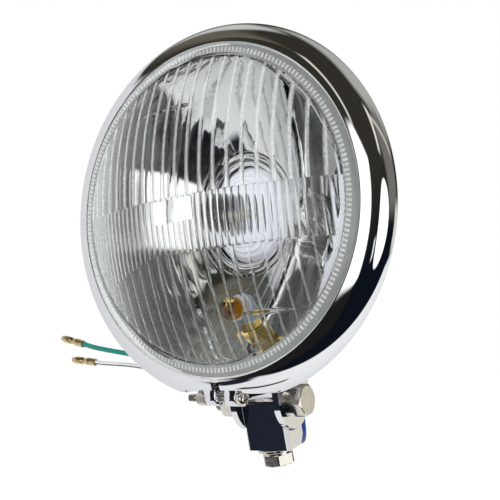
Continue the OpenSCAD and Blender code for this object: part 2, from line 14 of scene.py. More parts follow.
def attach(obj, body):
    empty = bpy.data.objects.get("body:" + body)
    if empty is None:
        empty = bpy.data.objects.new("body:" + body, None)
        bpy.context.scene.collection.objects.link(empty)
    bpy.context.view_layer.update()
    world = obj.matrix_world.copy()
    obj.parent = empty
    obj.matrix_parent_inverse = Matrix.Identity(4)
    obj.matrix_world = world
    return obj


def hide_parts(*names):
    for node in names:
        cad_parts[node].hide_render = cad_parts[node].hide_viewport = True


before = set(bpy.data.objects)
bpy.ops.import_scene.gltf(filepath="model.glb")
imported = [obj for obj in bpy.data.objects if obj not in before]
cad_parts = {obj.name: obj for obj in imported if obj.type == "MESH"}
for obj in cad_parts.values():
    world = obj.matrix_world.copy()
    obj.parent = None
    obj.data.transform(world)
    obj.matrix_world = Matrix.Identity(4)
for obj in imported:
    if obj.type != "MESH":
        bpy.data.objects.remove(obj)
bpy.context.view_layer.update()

MM = 0.001

# Lens, mirror and lamp unit, in millimetres. Places along the axis count back from the glass edge
GLASS_R = 72
GLASS_T = 3.2
BAND_W = 5.2
DOME_RISE = 18.9
DOME_BASE = -2.2
OPEN_STEP = 1.8
LIP_OVERLAP = 1.6
RIM_T = 3.1
FLANGE_T = 1.6
MIRROR_FOCAL = 36
MIRROR_T = 1.4
COLLAR_R = 22
COLLAR_END = 46
HOOD_BACK = 37
HOOD_RISE = 13
PILOT_DROP = 42
PILOT_R = 5
PILOT_REACH = 5

# Trim ring, shell and the seal between them
SEAT_GAP = 0.1
RING_T = 1
BULGE_W = 10.4
BULGE_D = 11.6
SKIRT_L = 4
SKIRT_DRAW = 2.6
SEAL_T = 2
SEAL_W = 3.4
SEAL_INSET = 2.2
SHELL_STEP = 3.5
SHELL_T = 1.2
SHELL_STRAIGHT = 5
BOWL_L = 67

# Split of the ring and its clamp screw
SPLIT_W = 4.2
SPLIT_TURN = math.radians(2.3)
CLAMP_FLAT = 4.2
CLAMP_BACK = 6.8
LUG_T = 6
LUG_R = 3.3
CLAMP_D = 3.5
CLAMP_AF = 6
CLAMP_NUT_H = 4.8
CLAMP_HEAD_D = 6.6
CLAMP_HEAD_H = 3.8
CLAMP_TAIL = 5.6
CLAMP_SIDE_ROOM = 0.6

# Tilt joint, block and mount
LEAN = math.radians(10)
PIVOT_BACK = 36.5
PIVOT_H = 20.6
SADDLE_T = 3.6
BLOCK_TOP_GAP = 3
BLOCK_L = 14.5
EAR_OUT = 13
TILT_D = 8
TILT_AF = 13
TILT_HEAD_H = 5.4
TILT_TURN = math.radians(41)
TILT_NUT_H = 6.5
TILT_TAIL = 5.2
LOCK_T = 2
FLAT_T = 1.6
MOUNT_D = 8
MOUNT_AF = 13.5
MOUNT_HEAD_H = 5
MOUNT_TURN = math.radians(34)
MOUNT_GRIP = 12
MOUNT_FLAT_T = 1.4
MOUNT_LOCK_T = 1.5

# Sizes and places that follow from these
UNIT_R = GLASS_R + LIP_OVERLAP
DOME_R = GLASS_R - BAND_W
OPEN_R = DOME_R - OPEN_STEP
KNURL_END = DOME_R + 2.6
RIM_FRONT = RING_T + 2 * SEAT_GAP
RIM_BACK = RIM_FRONT + RIM_T
FLANGE_BACK = RIM_BACK + FLANGE_T
LIP_FRONT = FLANGE_BACK + SEAL_T
LIP_R = UNIT_R - SEAL_INSET - SEAL_W
RING_R = GLASS_R + BULGE_W
SKIRT_R = RING_R - SKIRT_DRAW
SKIRT_BACK = BULGE_D + SKIRT_L
FLAT_R = RING_R - CLAMP_FLAT
SHELL_R = GLASS_R + SHELL_STEP
HEM_R = SHELL_R + SEAT_GAP
BOWL_START = LIP_FRONT + SHELL_STRAIGHT
CLAMP_ROOM = CLAMP_AF / math.sqrt(3) + 0.3
CLAMP_R = HEM_R + SEAT_GAP + RING_T + CLAMP_ROOM
CLAMP_LEFT = -SPLIT_W / 2 - LUG_T - CLAMP_NUT_H - CLAMP_TAIL - CLAMP_SIDE_ROOM
CLAMP_RIGHT = SPLIT_W / 2 + LUG_T + CLAMP_HEAD_H + CLAMP_SIDE_ROOM
SHELL_AT_PIVOT = SHELL_R * math.sqrt(1 - ((PIVOT_BACK - BOWL_START) / BOWL_L) ** 2)
PIVOT_DROP = SHELL_AT_PIVOT + SADDLE_T + BLOCK_TOP_GAP + BLOCK_L / 2

# From the lamp frame to the row frame
LAMP = (Matrix.Translation((0, 0, PIVOT_H * MM)) @ Matrix.Rotation(-LEAN, 4, "X")
        @ Matrix.Translation((0, -PIVOT_BACK * MM, PIVOT_DROP * MM)))

# Routes of the leads, in millimetres, as in the part's source
GREEN_PATH = [
    (-2.51, 29.35, 44.42), (-2.51, 31.72, 41.19), (-2.6, 35, 34.7), (-4.5, 37.8, 30.2),
    (-9.5, 39, 26.8), (-16, 38.8, 25), (-23, 37.4, 25.2), (-30, 35, 26.4), (-37, 32.3, 28.2),
    (-44, 29.6, 30.2), (-51, 27, 32.2), (-58, 24.4, 34.3), (-65, 21.6, 36.5), (-72, 18.9, 38.7),
    (-79, 16.5, 40.9), (-86, 14.8, 42.9), (-93, 13.8, 44.7), (-100, 13.4, 46.2), (-107, 13.5, 47.6),
    (-115, 13.8, 49.3), (-123, 14.3, 51.4)]
WHITE_PATH = [
    (2.51, 29.35, 44.42), (2.51, 31.72, 41.19), (2.6, 35, 34.7), (2, 38, 29.8), (-1, 40.5, 25.8),
    (-5.5, 42, 22.6), (-11, 42.2, 20.6), (-17, 41, 20), (-23, 39, 20.4), (-29, 36.5, 21.4),
    (-35, 33.6, 22.6), (-41, 30.7, 24.2), (-47, 27.9, 25.9), (-53, 25.2, 27.7), (-59, 22.6, 29.6),
    (-65, 20.2, 31.4), (-71, 18, 33.2), (-77, 16.2, 35), (-83, 14.7, 36.6), (-89, 13.7, 38),
    (-95, 13, 39), (-101.5, 12.6, 39.8), (-108, 12.4, 40.5), (-114.5, 12.4, 41.4)]
BLUE_PATH = [
    (0, 25.85, 41.84), (0, 28.22, 38.62), (0, 31.3, 32.4), (-0.8, 34, 27), (-2.2, 36, 21.6),
    (-4.2, 37.2, 16), (-6, 37.8, 10.4), (-7.2, 38.1, 4.8), (-8.1, 38.5, -0.6), (-9.2, 39.6, -5.6),
    (-11.6, 42, -9.8), (-15.2, 45.6, -12.2), (-18.9, 50, -12.8), (-22.3, 54.4, -12.4),
    (-25.7, 58.8, -11.6), (-29.1, 63.2, -10.6)]
LEAD_D = 2.6
THIN_LEAD_D = 2.2
BULLET_D = 4
TRACER_SIDE = Vector((0, -0.9, -0.43)).normalized()


# Camera
def make_camera():
    """Camera at the photograph's viewpoint, set in the lamp frame."""
    azimuth = math.radians(33.66)
    elevation = math.radians(-6.36)
    roll = math.radians(-4.21)
    distance = 363.04
    shift_right = -17.99
    shift_up = 17.36
    focal_px = 850
    frame_px = 500
    back = Vector((math.sin(azimuth) * math.cos(elevation), -math.cos(azimuth) * math.cos(elevation),
                   math.sin(elevation)))
    level = Vector((math.cos(azimuth), math.sin(azimuth), 0))
    upright = back.cross(level)
    right = level * math.cos(roll) + upright * math.sin(roll)
    up = upright * math.cos(roll) - level * math.sin(roll)
    eye = (back * distance - right * shift_right - up * shift_up) * MM
    data = bpy.data.cameras.new("camera")
    data.sensor_width = 36
    data.lens = data.sensor_width * focal_px / frame_px
    data.clip_start = 0.01
    camera = bpy.data.objects.new("camera", data)
    bpy.context.scene.collection.objects.link(camera)
    turn = Matrix((right, up, back)).transposed().to_4x4()
    camera.matrix_world = LAMP @ Matrix.Translation(eye) @ turn
    bpy.context.scene.camera = camera


# Shader building
class Shader:
    """A material or world node tree with short calls for its nodes."""

    def __init__(self, owner, keep=False):
        owner.use_nodes = True
        self.tree = owner.node_tree
        if not keep:
            self.tree.nodes.clear()

    def node(self, kind, **settings):
        made = self.tree.nodes.new(kind)
        for name, value in settings.items():
            setattr(made, name, value)
        return made

    def feed(self, socket, value):
        if isinstance(value, bpy.types.NodeSocket):
            self.tree.links.new(value, socket)
        elif value is not None:
            socket.default_value = value

    def find(self, kind):
        """The tree's first node of a kind."""
        return next(n for n in self.tree.nodes if n.type == kind)

    def math(self, operation, first, second=None):
        made = self.node("ShaderNodeMath", operation=operation)
        self.feed(made.inputs[0], first)
        self.feed(made.inputs[1], second)
        return made.outputs[0]

    def dot(self, first, second):
        made = self.node("ShaderNodeVectorMath", operation="DOT_PRODUCT")
        self.feed(made.inputs[0], first)
        self.feed(made.inputs[1], second)
        return made.outputs["Value"]

    def ramp(self, value, low, high, start=0.0, end=1.0):
        made = self.node("ShaderNodeMapRange", interpolation_type="SMOOTHSTEP")
        for socket, number in zip(made.inputs, (value, low, high, start, end)):
            self.feed(socket, number)
        return made.outputs[0]

    def mix(self, factor, first, second):
        """Mix of two colours, which the node takes at sockets 6 and 7 and gives at 2."""
        made = self.node("ShaderNodeMix", data_type="RGBA")
        self.feed(made.inputs[0], factor)
        self.feed(made.inputs[6], rgba(first))
        self.feed(made.inputs[7], rgba(second))
        return made.outputs[2]

    def blend(self, factor, first, second):
        """Mix of two shaders."""
        made = self.node("ShaderNodeMixShader")
        for socket, value in zip(made.inputs, (factor, first, second)):
            self.feed(socket, value)
        return made.outputs[0]

    def finish(self, surface):
        """Leads a shader to the material's output, in place of what led there before."""
        self.feed(self.find("OUTPUT_MATERIAL").inputs[0], surface)

    def noise(self, scale, detail, roughness, vector):
        made = self.node("ShaderNodeTexNoise")
        self.feed(made.inputs["Scale"], scale)
        self.feed(made.inputs["Detail"], detail)
        self.feed(made.inputs["Roughness"], roughness)
        self.feed(made.inputs["Vector"], vector)
        return made.outputs["Fac"]

    def paint(self, surface, factor, first, second):
        """Gives a shader a base colour between two colours."""
        self.feed(surface.inputs["Base Color"], self.mix(factor, first, second))

    def bump(self, surface, height, strength, distance):
        """Gives a shader a relief."""
        made = self.node("ShaderNodeBump")
        made.inputs["Strength"].default_value = strength
        made.inputs["Distance"].default_value = distance
        self.feed(made.inputs["Height"], height)
        self.feed(surface.inputs["Normal"], made.outputs[0])

    def place(self):
        return self.node("ShaderNodeTexCoord").outputs["Object"]


def rgba(value):
    """A colour as four numbers. A socket passes through."""
    if isinstance(value, bpy.types.NodeSocket) or len(value) == 4:
        return value
    return (*value, 1.0)


def principled(name, metallic=0.0, roughness=0.5):
    """A material with one principled shader. Returns the material, its shader and its node helper."""
    material = bpy.data.materials.new(name)
    made = Shader(material)
    surface = made.node("ShaderNodeBsdfPrincipled")
    surface.inputs["Metallic"].default_value = metallic
    surface.inputs["Roughness"].default_value = roughness
    made.node("ShaderNodeOutputMaterial")
    made.finish(surface.outputs[0])
    return material, surface, made


def chrome():
    material, surface, made = principled("chrome_plate", metallic=1.0)
    where = made.place()
    haze = made.noise(180, 3, 0.6, where)
    made.feed(surface.inputs["Roughness"], made.ramp(haze, 0.3, 0.9, 0.02, 0.06))
    tint = made.noise(25, 2, 0.5, where)
    made.paint(surface, tint, (0.88, 0.885, 0.9), (0.95, 0.95, 0.95))
    made.bump(surface, made.noise(60, 1, 0.4, where), 0.12, 0.0002)
    return material


def nickel():
    material, surface, made = principled("nickel_plate", metallic=1.0)
    where = made.place()
    cloud = made.noise(420, 4, 0.65, where)
    made.paint(surface, cloud, (0.66, 0.62, 0.54), (0.9, 0.86, 0.8))
    made.feed(surface.inputs["Roughness"], made.ramp(made.noise(900, 3, 0.6, where), 0.2, 0.8, 0.1, 0.24))
    made.bump(surface, cloud, 0.3, 0.0002)
    return material


def mirror():
    material, surface, made = principled("mirror_coat", metallic=1.0, roughness=0.02)
    where = made.place()
    tint = made.noise(30, 2, 0.5, where)
    made.paint(surface, tint, (0.9, 0.9, 0.89), (0.93, 0.93, 0.93))
    made.bump(surface, made.noise(90, 2, 0.5, where), 0.14, 0.0003)
    return material


def see_through(name, color):
    """Glass that lets light through to what lies behind it."""
    material, surface, made = principled(name, roughness=0.0)
    surface.inputs["Base Color"].default_value = rgba(color)
    surface.inputs["IOR"].default_value = 1.5
    surface.inputs["Transmission Weight"].default_value = 1.0
    wave = made.noise(70, 1, 0.4, made.place())
    made.bump(surface, wave, 0.1, 0.0002)
    clear = made.node("ShaderNodeBsdfTransparent")
    clear.inputs[0].default_value = rgba(color)
    path = made.node("ShaderNodeLightPath")
    soft_ray = made.math("MAXIMUM", path.outputs["Is Shadow Ray"], path.outputs["Is Diffuse Ray"])
    made.finish(made.blend(soft_ray, surface.outputs[0], clear.outputs[0]))
    return material


def lens_glass():
    """Pressed glass with painted highlights on its ridges, as much as the mesh's own glint value says."""
    material = see_through("lens_clear", (0.97, 0.985, 0.98))
    made = Shader(material, keep=True)
    made.find("BSDF_PRINCIPLED").inputs["Specular Tint"].default_value = (0.5, 0.5, 0.5, 1)
    clear = made.find("OUTPUT_MATERIAL").inputs[0].links[0].from_socket
    # Painted highlight: a pale diffuse shade mixed in by the glint value and broken up by a noise
    painted_highlight = made.node("ShaderNodeBsdfDiffuse")
    painted_highlight.inputs["Color"].default_value = (0.8, 0.83, 0.82, 1)
    glint = made.node("ShaderNodeAttribute", attribute_name="glint").outputs["Fac"]
    streak = made.ramp(made.noise(900, 2, 0.5, made.place()), 0.2, 0.8, 0.26, 0.52)
    made.finish(made.blend(made.math("MULTIPLY", glint, streak), clear, painted_highlight.outputs[0]))
    return material


def satin(name, dark, light, roughness, mottle=240, grain=900, relief=0.15):
    """Matt surface with a faint mottle and a fine grain."""
    material, surface, made = principled(name, roughness=roughness)
    where = made.place()
    made.paint(surface, made.noise(mottle, 3, 0.6, where), dark, light)
    made.bump(surface, made.noise(grain, 2, 0.5, where), relief, 0.0001)
    return material


def rubber():
    return satin("black_rubber", (0.012, 0.012, 0.013), (0.035, 0.034, 0.033), 0.62, 300, 1800, 0.3)


def moulded():
    return satin("white_plastic", (0.78, 0.76, 0.7), (0.88, 0.87, 0.83), 0.45, 200, 1500, 0.2)


def brass():
    material, surface, made = principled("brass_plate", metallic=1.0)
    where = made.place()
    cloud = made.noise(700, 3, 0.6, where)
    made.paint(surface, cloud, (0.68, 0.48, 0.2), (0.92, 0.76, 0.45))
    made.feed(surface.inputs["Roughness"], made.ramp(cloud, 0.2, 0.8, 0.18, 0.38))
    made.bump(surface, cloud, 0.5, 0.0003)
    return material


def sheath(name, dark, light, tracer=None):
    """Soft wire insulation with a faint mottle, and a coloured line along it if a tracer is given."""
    material, surface, made = principled(name, roughness=0.34)
    where = made.place()
    skin = made.mix(made.noise(260, 3, 0.6, where), dark, light)
    if tracer:
        outward = made.node("ShaderNodeTexCoord").outputs["Normal"]
        line = made.ramp(made.dot(outward, TRACER_SIDE), 0.93, 0.96)
        skin = made.mix(line, skin, tracer)
    made.feed(surface.inputs["Base Color"], skin)
    made.bump(surface, made.noise(900, 2, 0.5, where), 0.15, 0.0001)
    surface.inputs["Coat Weight"].default_value = 0.25
    surface.inputs["Coat Roughness"].default_value = 0.2
    return material


# Mesh building
def lamp_point(x, back, z):
    """A point of the lamp frame, in millimetres, as a point of the row frame in metres."""
    return LAMP @ Vector((x * MM, back * MM, z * MM))


def new_piece(name, points, faces, material, body="head", slot=None, sharp=35, hides=(), glints=None):
    """A mesh piece on a body, smooth apart from edges sharper than the angle."""
    mesh = bpy.data.meshes.new(name)
    mesh.from_pydata([tuple(p) for p in points], [], faces)
    if glints:
        mesh.attributes.new("glint", "FLOAT", "POINT").data.foreach_set("value", glints)
    piece = bpy.data.objects.new(name, mesh)
    bpy.context.scene.collection.objects.link(piece)
    shade(mesh, sharp)
    mesh.materials.append(material)
    if hides:
        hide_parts(*hides)
    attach(piece, body)
    return piece


def shade(mesh, sharp):
    """Merges doubled points, turns the faces outwards and marks the sharp edges."""
    shape = bmesh.new()
    shape.from_mesh(mesh)
    bmesh.ops.remove_doubles(shape, verts=shape.verts, dist=1e-7)
    bmesh.ops.dissolve_degenerate(shape, edges=shape.edges, dist=1e-7)
    bmesh.ops.recalc_face_normals(shape, faces=shape.faces)
    for face in shape.faces:
        face.smooth = True
    for edge in shape.edges:
        edge.smooth = not (edge.is_manifold and edge.calc_face_angle(0) > math.radians(sharp))
    shape.to_mesh(mesh)
    shape.free()


def lathe_faces(rows, columns, closed_rows=True, closed_columns=True):
    """Quads of a grid of rows, each with the same number of columns."""
    faces = []
    for i in range(rows if closed_rows else rows - 1):
        near = i * columns
        far = (i + 1) % rows * columns
        for k in range(columns if closed_columns else columns - 1):
            after = (k + 1) % columns
            faces.append((near + k, near + after, far + after, far + k))
    return faces


def end_caps(count, total):
    """Faces of the first and last sections of a column, which has count points in each section."""
    return [tuple(range(count)), tuple(range(total - count, total))[::-1]]


def lathe_points(profile, segments, place=lamp_point):
    points = []
    for radius, back in profile:
        for k in range(segments):
            a = 2 * math.pi * k / segments
            points.append(place(radius * math.sin(a), back, radius * math.cos(a)))
    return points


def lathe(name, profile, material, segments=192, closed=True, place=lamp_point, **options):
    """A revolved piece about the lamp's axis, or about the axis that place puts it on."""
    points = lathe_points(profile, segments, place)
    return new_piece(name, points, lathe_faces(len(profile), segments, closed), material, **options)


def arc(count, start=0.0, end=90.0):
    """Angles in radians, in equal steps from start to end, which are in degrees."""
    return [math.radians(start + (end - start) * i / count) for i in range(count + 1)]


def soft_min(first, second, width):
    """The smaller of two values, rounded over where they meet."""
    share = min(1.0, max(0.0, 0.5 + 0.5 * (second - first) / width))
    return second + (first - second) * share - width * share * (1 - share)


def smooth(value):
    """0 below 0 and 1 above 1, with a smooth step between them."""
    value = min(1.0, max(0.0, value))
    return value * value * (3 - 2 * value)


# Trim ring, with the flat and the recess for the clamp screw pressed into it
def bulge(inset, count):
    """Quarter ellipse from the glass edge out to the ring's widest place."""
    return [(GLASS_R + (BULGE_W - inset) * math.sin(a), BULGE_D - (BULGE_D - inset) * math.cos(a))
            for a in arc(count)]


def pressed(across, back, down, inset):
    """How far below the axis the ring's skin lies, after the flat and the recess are pressed in."""
    down = soft_min(down, FLAT_R - inset, 0.6)
    floor = CLAMP_R - CLAMP_ROOM - inset
    edge = min(across - CLAMP_LEFT, CLAMP_RIGHT - across, CLAMP_BACK + CLAMP_ROOM - back)
    return down + (min(down, floor) - down) * smooth(edge / 0.9)


def clamp_frame(across, back, down):
    """A point in the clamp's own turn about the axis, in millimetres, as a point of the row frame."""
    x = across * math.cos(SPLIT_TURN) - down * math.sin(SPLIT_TURN)
    z = -across * math.sin(SPLIT_TURN) - down * math.cos(SPLIT_TURN)
    return lamp_point(x, back, z)


def steps(start, end, size):
    """Angles in radians from start up to the last step before end, with all three in degrees."""
    return [math.radians(start + size * i) for i in range(int(round((end - start) / size)))]


def ring_rows(profile, turns, inset):
    """Points of the profile at each turn. Those that would lie in the split move to its sides."""
    points = []
    half = SPLIT_W / 2
    for radius, back in profile:
        for turn in turns:
            across, down = radius * math.sin(turn), radius * math.cos(turn)
            if down > 0 and abs(across) < half:
                across = half if turn < math.pi else -half
                down = math.sqrt(radius * radius - half * half)
            points.append(clamp_frame(across, back, pressed(across, back, down, inset)))
    return points


def trim_ring(material):
    skirt = [(RING_R - 0.35, BULGE_D + 1), (RING_R - 1, BULGE_D + 2), (SKIRT_R, SKIRT_BACK - 0.4),
             (SKIRT_R - 0.4, SKIRT_BACK), (HEM_R, SKIRT_BACK), (HEM_R, SKIRT_BACK - RING_T)]
    outer = bulge(0, 64) + skirt
    inner = [(SKIRT_R - RING_T, SKIRT_BACK - RING_T)] + bulge(RING_T, 24)[::-1]
    # Columns start at one side of the split and end at the other, closest together near the clamp
    turns = steps(0, 21, 0.25) + steps(21, 339, 0.75) + steps(339, 360, 0.25) + [2 * math.pi]
    points = ring_rows(outer, turns, 0) + ring_rows(inner, turns, RING_T)
    rows = len(outer) + len(inner)
    faces = lathe_faces(rows, len(turns), True, False)
    first = tuple(i * len(turns) for i in range(rows))
    last = tuple(i + len(turns) - 1 for i in first)
    faces += [first, last[::-1]]
    new_piece("trim_ring_chrome", points, faces, material, slot="chrome", sharp=40, hides=["trim_ring"])
    for side, name in ((-1, "clamp_lug_left"), (1, "clamp_lug_right")):
        clamp_lug(name, side, material)


def clamp_point(x, back, z):
    """A point beside the clamp screw's middle, in millimetres, as a point of the row frame."""
    return clamp_frame(x, CLAMP_BACK + back, CLAMP_R - z)


def clamp_lug(name, side, material):
    """A lug with a round end below. It widens towards its root in the recess's floor."""
    outline = [(-LUG_R * math.cos(a), -LUG_R * math.sin(a)) for a in arc(24, 0, 180)]
    outline += [(LUG_R + 0.1, 1), (CLAMP_ROOM + 0.3, 2), (CLAMP_ROOM + 0.3, CLAMP_ROOM + 0.3),
                (-LUG_R, CLAMP_ROOM + 0.3), (-LUG_R, 2), (-LUG_R, 1)]
    near = side * SPLIT_W / 2
    far = side * (SPLIT_W / 2 + LUG_T)
    soften = 0.6
    corner = 0.18
    rings = [(near, soften), (near + side * corner, corner), (near + side * soften, 0),
             (far - side * soften, 0), (far - side * corner, corner), (far, soften)]
    points = []
    for x, inset in rings:
        for back, z in outline:
            scale = 1 - inset / math.hypot(back, z)
            flare = side * 0.8 * smooth((z - 1) / 2.4) if x * side > SPLIT_W / 2 + 1 else 0.0
            points.append(clamp_point(x + flare, back * scale, z * scale))
    faces = lathe_faces(len(rings), len(outline), False) + end_caps(len(outline), len(points))
    new_piece(name, points, faces, material, slot="chrome", sharp=50)


# Fasteners
def column(name, sections, place, material, sharp=28, hides=(), body="head"):
    """A closed body from sections along its axis, each with the same number of points."""
    count = len(sections[0])
    points = [place(*p) for section in sections for p in section]
    faces = lathe_faces(len(sections), count, False) + end_caps(count, len(points))
    new_piece(name, points, faces, material, body, "nickel_steel", sharp, hides)


def hex_section(along, width, limit, turn, count=96):
    """Section of a hexagon with slightly worn corners, cut back to a radius where the chamfer reaches it."""
    half_side = math.pi / 6
    corner = width / 2 / math.cos(half_side) * 0.985
    section = []
    for k in range(count):
        a = 2 * math.pi * k / count
        from_flat = (a - turn + half_side) % (2 * half_side) - half_side
        radius = min(soft_min(width / 2 / math.cos(from_flat), corner, 0.12), limit)
        section.append((along, radius * math.cos(a), radius * math.sin(a)))
    return section


def hexagon(name, start, end, width, turn, place, material, both=False, **options):
    """A hexagon head from its seat at start to its chamfered face at end. A nut has both faces chamfered."""
    length = abs(end - start)
    way = 1 if end > start else -1
    chamfer_r = width / 2 * 0.95
    chamfer_slope = 1.73
    drops = [0, 0.05, 0.12, 0.22, 0.35, 0.5, 0.7, 1.0]
    seat = [(drop, drop) for drop in drops] if both else [(0, 2)]
    sections = seat + [(length - drop, drop) for drop in drops[::-1]]
    cuts = [hex_section(start + way * along, width, chamfer_r + drop * chamfer_slope, turn)
            for along, drop in sections]
    column(name, cuts, place, material, **options)


def thread(name, start, end, diameter, pitch, place, material, **options):
    """A rod with a helical thread and a chamfer at its free end, which is start."""
    length = abs(end - start)
    way = 1 if end > start else -1
    count = 48
    depth = pitch * 0.5
    sections = []
    for i in range(int(length / pitch * 6) + 1):
        along = min(length, i * pitch / 6)
        section = []
        for k in range(count):
            a = 2 * math.pi * k / count
            phase = (along / pitch - k / count) % 1.0
            radius = diameter / 2 - depth * smooth(1 - abs(phase * 2 - 1))
            radius = min(radius, diameter / 2 * 0.72 + along)
            section.append((start + way * along, radius * math.cos(a), radius * math.sin(a)))
        sections.append(section)
    column(name, sections, place, material, sharp=60, **options)


def pan_head(name, start, diameter, height, place, material):
    """A pan head with a cross recess."""
    count = 96
    r = diameter / 2
    wall = height * 0.45
    wing_l = r * 0.62
    wing_half_w = 0.62
    middle_r = 1.15
    recess_depth = 1.7
    rows = [(0.0, r * 0.97), (0.15, r), (wall, r)]
    rows += [(wall + (height - wall) * math.cos(a), r * math.sin(a)) for a in arc(40, 90, 2)]
    sections = []
    for along, radius in rows:
        section = []
        for k in range(count):
            a = 2 * math.pi * k / count + 0.4
            u, v = abs(radius * math.cos(a)), abs(radius * math.sin(a))
            upright = min(wing_half_w - u, wing_l - v)
            level = min(wing_half_w - v, wing_l - u)
            inside = max(upright, level, middle_r - math.hypot(u, v))
            cut = recess_depth * smooth(inside / 0.3 + 0.5) if along > wall else 0.0
            section.append((start + along - cut, radius * math.cos(a), radius * math.sin(a)))
        sections.append(section)
    column(name, sections, place, material, sharp=50)


def pivot_point(x, y, z):
    """A point beside the tilt bolt's middle, on the head, as a point of the row frame."""
    return lamp_point(x, PIVOT_BACK + y, -PIVOT_DROP + z)


def mount_point(down, x, y):
    """A point below the block's foot, as a point of the row frame."""
    return Vector((x * MM, y * MM, -down * MM))


def washer(name, start, end, radius, hole, place, material, **options):
    edge = 0.25
    low, high = min(start, end), max(start, end)
    profile = [(hole, low), (radius - edge, low), (radius, low + edge), (radius, high - edge),
               (radius - edge, high), (hole, high)]

    def along_axis(x, back, z):
        return place(back, x, z)
    lathe(name, profile, material, segments=96, place=along_axis, slot="nickel_steel", **options)


def clamp_screw(material):
    lug = SPLIT_W / 2 + LUG_T
    thread("clamp_screw_thread", -lug - CLAMP_NUT_H - CLAMP_TAIL, lug + 0.3, CLAMP_D, 0.7, clamp_point,
           material, hides=["clamp_screw"])
    pan_head("clamp_screw_head", lug, CLAMP_HEAD_D, CLAMP_HEAD_H, clamp_point, material)
    hexagon("clamp_nut_hex", -lug, -lug - CLAMP_NUT_H, CLAMP_AF, math.radians(10), clamp_point, material,
            both=True, hides=["clamp_nut"])


def tilt_bolt(material):
    seat = EAR_OUT + LOCK_T
    nut = EAR_OUT + FLAT_T + LOCK_T
    thread("tilt_bolt_thread", -nut - TILT_NUT_H - TILT_TAIL, seat + 0.3, TILT_D, 1.25, pivot_point,
           material, hides=["tilt_bolt"])
    hexagon("tilt_bolt_head", seat, seat + TILT_HEAD_H, TILT_AF, TILT_TURN, pivot_point, material)
    hexagon("tilt_nut_hex", -nut, -nut - TILT_NUT_H, TILT_AF, math.radians(20), pivot_point, material,
            both=True, hides=["tilt_nut"])
    washer("tilt_washer_flat", -EAR_OUT, -EAR_OUT - FLAT_T, TILT_D, TILT_D / 2, pivot_point, material,
           hides=["tilt_washer"])


def mount_bolt(material):
    under = MOUNT_FLAT_T + MOUNT_LOCK_T
    hexagon("mount_bolt_head", under, under + MOUNT_HEAD_H, MOUNT_AF, MOUNT_TURN, mount_point, material,
            hides=["mount_bolt"], body="bracket")
    thread("mount_bolt_thread", -MOUNT_GRIP, under + 0.3, MOUNT_D, 1.25, mount_point, material,
           body="bracket")
    washer("mount_washer_flat", 0, MOUNT_FLAT_T, MOUNT_D * 1.1, MOUNT_D / 2, mount_point, material,
           hides=["mount_washer"], body="bracket")


# Shell
def bowl(radius, length, count):
    return [(radius * math.cos(a), BOWL_START + length * math.sin(a)) for a in arc(count)]


def shell(material):
    outer = [(LIP_R, LIP_FRONT), (SHELL_R, LIP_FRONT)] + bowl(SHELL_R, BOWL_L, 64)
    inner = bowl(SHELL_R - SHELL_T, BOWL_L - SHELL_T, 48)[::-1]
    inner += [(SHELL_R - SHELL_T, LIP_FRONT + SHELL_T), (LIP_R, LIP_FRONT + SHELL_T)]
    lathe("shell_chrome", outer + inner, material, slot="chrome", hides=["shell"])


# Reflector. Each bead round the bulb's opening has a height, a distance from the collar and a width
BEADS = ((0.8, 1.4, 0.8), (0.5, 4.6, 0.9))
BEADED_W = 8


def mirror_back(radius):
    """Place of the mirror along the axis, with the beads pressed round the bulb's opening."""
    place = RIM_BACK + (OPEN_R * OPEN_R - radius * radius) / (4 * MIRROR_FOCAL)
    for height, out, width in BEADS:
        place -= height * math.exp(-((radius - COLLAR_R - out) / width) ** 2)
    return place


def reflector(material):
    plain = COLLAR_R + BEADED_W
    radii = [OPEN_R + (plain - OPEN_R) * i / 70 for i in range(70)]
    radii += [plain + (COLLAR_R - plain) * i / 50 for i in range(51)]
    neck = mirror_back(COLLAR_R)
    outside = COLLAR_R + MIRROR_T
    rim = [(UNIT_R, RIM_BACK + 0.05), (OPEN_R + 0.6, RIM_BACK + 0.05)]
    face = [(r, mirror_back(r)) for r in radii]
    collar = [(COLLAR_R - 0.3, neck + 0.4), (COLLAR_R - 0.3, neck + 1), (COLLAR_R, neck + 1.6),
              (COLLAR_R, COLLAR_END), (outside, COLLAR_END), (outside, COLLAR_END - 2), (outside, neck + 3)]
    behind = [(r + MIRROR_T, mirror_back(r) + 1.2) for r in radii[60:20:-4]] + [(UNIT_R, FLANGE_BACK)]
    lathe("reflector_mirror", rim + face + collar + behind, material, segments=256,
          slot="reflector_mirror", hides=["reflector"])


def bond_ring(name, start, end, paint):
    """Painted band on the mirror's rim, which shows through the glass rim."""
    front, rear = RIM_BACK + 0.01, RIM_BACK + 0.04
    lathe(name, [(start, front), (end, front), (end, rear), (start, rear)], paint, slot="reflector_mirror")


def bulb_hood(material):
    """Ribbed white dome round the bulb, which closes the mirror's opening."""
    outer = COLLAR_R - 0.2
    inner = 9.2
    rib_pitch = 2.4
    rib_h = 0.35
    count = 60
    profile = []
    for i in range(count + 1):
        radius = outer + (inner - outer) * i / count
        dome = HOOD_RISE * math.sqrt(1 - (radius / (outer + 0.3)) ** 2)
        rib = rib_h * abs(math.sin(math.pi * (radius - inner) / rib_pitch))
        profile.append((radius, HOOD_BACK - dome + rib))
    profile += [(inner, HOOD_BACK + 3), (outer, HOOD_BACK + 1)]
    lathe("bulb_hood_disc", profile, material, slot="bulb_cap")


def beside_axis(aside):
    """A place function like lamp_point, for a lathe axis that lies beside the lamp's axis."""
    def place(x, back, z):
        return lamp_point(x + aside, back, z)
    return place


